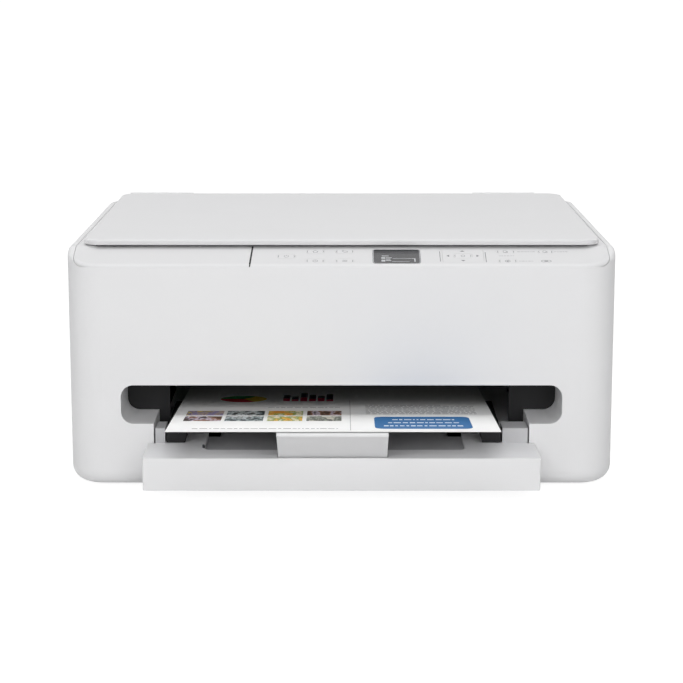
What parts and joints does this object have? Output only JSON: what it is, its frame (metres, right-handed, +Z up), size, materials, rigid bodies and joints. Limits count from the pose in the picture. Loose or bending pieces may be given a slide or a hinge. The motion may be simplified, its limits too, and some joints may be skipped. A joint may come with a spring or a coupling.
{
  "type": "inkjet multifunction printer",
  "caption": "Flatbed inkjet multifunction printer with a hinged document cover, a lifting scanner top, a front paper tray and a fold-up output support.",
  "frame": {"origin": "on the floor, under the centre of the printer's bounding box", "axes": "+X to the right seen from the front, +Y towards the back, +Z up"},
  "size_m": [0.372, 0.3904, 0.1704],
  "materials": {
    "casing": "fine matte white",
    "light_plastic": "matte light grey",
    "dark_plastic": "matte dark grey",
    "black_plastic": "fine matte black",
    "key_plastic": "smooth matte white",
    "display_black": "smoked glossy window",
    "glass": "clear",
    "white_foam": "soft white foam",
    "paper": "plain paper with a print",
    "steel": "zinc-plated sheet",
    "polished_steel": "ground and polished",
    "motor_metal": "drawn can",
    "rubber": "matte",
    "circuit_board": "solder mask",
    "white_gear": "moulded acetal"
  },
  "bodies": {
    "root": {"base_pan": "dark_plastic", "outer_shell": "casing", "case_screws": "steel", "rubber_feet": "rubber", "slot_liner": "black_plastic", "side_frames": "steel", "carriage_rail": "steel", "guide_shaft": "polished_steel", "timing_belt": "rubber", "carriage_motor": "motor_metal", "feed_motor": "motor_metal", "platen": "dark_plastic", "cap_station": "dark_plastic", "turn_guide": "dark_plastic", "power_supply": "black_plastic", "ac_inlet": "black_plastic", "logic_board": "circuit_board"},
    "top_unit": {"scanner_housing": "light_plastic", "scanner_bezel": "casing", "hinge_pins": "steel", "platen_glass": "glass", "operation_panel": "casing", "panel_blank_cover": "casing", "display_window": "display_black", "panel_board": "circuit_board"},
    "cover": {"document_cover": "casing", "document_pad": "white_foam"},
    "scan_carriage": {"scan_bar": "black_plastic"},
    "key_power": {"key_power": "key_plastic"},
    "key_home": {"key_home": "key_plastic"},
    "key_back": {"key_back": "key_plastic"},
    "key_info": {"key_info": "key_plastic"},
    "key_menu": {"key_menu": "key_plastic"},
    "key_navigation": {"key_navigation": "key_plastic"},
    "key_ok": {"key_ok": "key_plastic"},
    "key_copy_mono": {"key_copy_mono": "key_plastic"},
    "key_copy_colour": {"key_copy_colour": "key_plastic"},
    "key_stop": {"key_stop": "key_plastic"},
    "tray": {"cassette_tub": "light_plastic", "tray_front": "casing", "tray_cover": "light_plastic"},
    "guide_left": {"paper_guide_left": "black_plastic"},
    "guide_right": {"paper_guide_right": "black_plastic"},
    "flap": {"output_support": "casing"},
    "sheet": {"printed_sheet": "paper"},
    "rear_cover": {"rear_cover": "casing"},
    "feed_roller": {"feed_roller": "rubber"},
    "eject_roller": {"eject_roller": "rubber"},
    "idler_gear": {"idler_gear": "white_gear"},
    "motor_pinion": {"motor_pinion": "white_gear"},
    "pinch_rollers": {"pinch_rollers": "dark_plastic"},
    "pickup_arm": {"pickup_arm": "dark_plastic"},
    "pickup_roller": {"pickup_roller": "rubber"},
    "carriage": {"print_carriage": "black_plastic", "cartridge_black": "black_plastic", "cartridge_colour": "black_plastic"},
    "lever_black": {"lever_black": "light_plastic"},
    "lever_colour": {"lever_colour": "light_plastic"},
    "drive_pulley": {"drive_pulley": "white_gear"},
    "idler_pulley": {"idler_pulley": "white_gear"}
  },
  "joints": [
    {"name": "top_unit_hinge", "type": "hinge", "parent": "root", "child": "top_unit", "pos_m": [0, 0.16565, 0.1584], "axis": [-1, 0, 0], "range_deg": [0, 30]},
    {"name": "cover_hinge", "type": "hinge", "parent": "top_unit", "child": "cover", "pos_m": [0, 0.16765, 0.167], "axis": [-1, 0, 0], "range_deg": [0, 90]},
    {"name": "scan_bar_slide", "type": "slide", "parent": "top_unit", "child": "scan_carriage", "axis": [1, 0, 0], "range_m": [0, 0.27]},
    {"name": "key_power_press", "type": "slide", "parent": "top_unit", "child": "key_power", "axis": [0, 0.309, -0.9511], "range_m": [0, 0.0006], "stiffness_N_per_m": 600, "springref_m": -0.0005},
    {"name": "key_home_press", "type": "slide", "parent": "top_unit", "child": "key_home", "axis": [0, 0.309, -0.9511], "range_m": [0, 0.0006], "stiffness_N_per_m": 600, "springref_m": -0.0005},
    {"name": "key_back_press", "type": "slide", "parent": "top_unit", "child": "key_back", "axis": [0, 0.309, -0.9511], "range_m": [0, 0.0006], "stiffness_N_per_m": 600, "springref_m": -0.0005},
    {"name": "key_info_press", "type": "slide", "parent": "top_unit", "child": "key_info", "axis": [0, 0.309, -0.9511], "range_m": [0, 0.0006], "stiffness_N_per_m": 600, "springref_m": -0.0005},
    {"name": "key_menu_press", "type": "slide", "parent": "top_unit", "child": "key_menu", "axis": [0, 0.309, -0.9511], "range_m": [0, 0.0006], "stiffness_N_per_m": 600, "springref_m": -0.0005},
    {"name": "key_navigation_press", "type": "slide", "parent": "top_unit", "child": "key_navigation", "axis": [0, 0.309, -0.9511], "range_m": [0, 0.0006], "stiffness_N_per_m": 600, "springref_m": -0.0005},
    {"name": "key_ok_press", "type": "slide", "parent": "top_unit", "child": "key_ok", "axis": [0, 0.309, -0.9511], "range_m": [0, 0.0006], "stiffness_N_per_m": 600, "springref_m": -0.0005},
    {"name": "key_copy_mono_press", "type": "slide", "parent": "top_unit", "child": "key_copy_mono", "axis": [0, 0.309, -0.9511], "range_m": [0, 0.0006], "stiffness_N_per_m": 600, "springref_m": -0.0005},
    {"name": "key_copy_colour_press", "type": "slide", "parent": "top_unit", "child": "key_copy_colour", "axis": [0, 0.309, -0.9511], "range_m": [0, 0.0006], "stiffness_N_per_m": 600, "springref_m": -0.0005},
    {"name": "key_stop_press", "type": "slide", "parent": "top_unit", "child": "key_stop", "axis": [0, 0.309, -0.9511], "range_m": [0, 0.0006], "stiffness_N_per_m": 600, "springref_m": -0.0005},
    {"name": "tray_slide", "type": "slide", "parent": "root", "child": "tray", "axis": [0, -1, 0], "range_m": [0, 0.2]},
    {"name": "guide_left_slide", "type": "slide", "parent": "tray", "child": "guide_left", "axis": [1, 0, 0], "range_m": [0, 0.03]},
    {"name": "guide_right_slide", "type": "slide", "parent": "tray", "child": "guide_right", "axis": [-1, 0, 0], "range_m": [0, 0.03]},
    {"name": "output_support_fold", "type": "hinge", "parent": "tray", "child": "flap", "pos_m": [-0.0058, -0.15385, 0.0304], "axis": [-1, 0, 0], "range_deg": [0, 146], "deforming": ["printed_sheet"]},
    {"name": "sheet_slide", "type": "slide", "parent": "tray", "child": "sheet", "axis": [0, -0.9963, 0.0854], "range_m": [0, 0.28]},
    {"name": "rear_cover_pull", "type": "slide", "parent": "root", "child": "rear_cover", "axis": [0, 1, 0], "range_m": [0, 0.04]},
    {"name": "feed_roller_spin", "type": "hinge", "parent": "root", "child": "feed_roller", "pos_m": [0, 0.11815, 0.055], "axis": [1, 0, 0], "continuous": true},
    {"name": "eject_roller_spin", "type": "hinge", "parent": "root", "child": "eject_roller", "pos_m": [0, 0.08315, 0.055], "axis": [1, 0, 0], "continuous": true},
    {"name": "idler_gear_spin", "type": "hinge", "parent": "root", "child": "idler_gear", "pos_m": [-0.17, 0.10065, 0.04532], "axis": [1, 0, 0], "continuous": true},
    {"name": "motor_pinion_spin", "type": "hinge", "parent": "root", "child": "motor_pinion", "pos_m": [-0.17, 0.13003, 0.04312], "axis": [1, 0, 0], "continuous": true},
    {"name": "pinch_rollers_spin", "type": "hinge", "parent": "root", "child": "pinch_rollers", "pos_m": [0, 0.11815, 0.063], "axis": [1, 0, 0], "continuous": true},
    {"name": "pickup_arm_lift", "type": "hinge", "parent": "root", "child": "pickup_arm", "pos_m": [0, 0.12915, 0.044], "axis": [-1, 0, 0], "range_deg": [0, 15]},
    {"name": "pickup_roller_spin", "type": "hinge", "parent": "pickup_arm", "child": "pickup_roller", "pos_m": [0, 0.10215, 0.02], "axis": [1, 0, 0], "continuous": true},
    {"name": "carriage_slide", "type": "slide", "parent": "root", "child": "carriage", "axis": [-1, 0, 0], "range_m": [0, 0.24]},
    {"name": "lever_black_lift", "type": "hinge", "parent": "carriage", "child": "lever_black", "pos_m": [0, 0.07965, 0.1135], "axis": [1, 0, 0], "range_deg": [0, 35]},
    {"name": "lever_colour_lift", "type": "hinge", "parent": "carriage", "child": "lever_colour", "pos_m": [0, 0.07965, 0.1135], "axis": [1, 0, 0], "range_deg": [0, 35]},
    {"name": "drive_pulley_spin", "type": "hinge", "parent": "root", "child": "drive_pulley", "pos_m": [-0.15, 0.14315, 0.104], "axis": [0, 1, 0], "continuous": true},
    {"name": "idler_pulley_spin", "type": "hinge", "parent": "root", "child": "idler_pulley", "pos_m": [0.15, 0.14315, 0.104], "axis": [0, 1, 0], "continuous": true}
  ],
  "couplings": [
    {"joint": "guide_right_slide", "follows": "guide_left_slide", "ratio": 1},
    {"joint": "eject_roller_spin", "follows": "feed_roller_spin", "ratio": 1},
    {"joint": "idler_gear_spin", "follows": "feed_roller_spin", "ratio": -1.5},
    {"joint": "motor_pinion_spin", "follows": "feed_roller_spin", "ratio": -2.5},
    {"joint": "pinch_rollers_spin", "follows": "feed_roller_spin", "ratio": -1.8519},
    {"joint": "drive_pulley_spin", "follows": "carriage_slide", "rad_per_m": 147.06},
    {"joint": "idler_pulley_spin", "follows": "carriage_slide", "rad_per_m": 147.06}
  ]
}
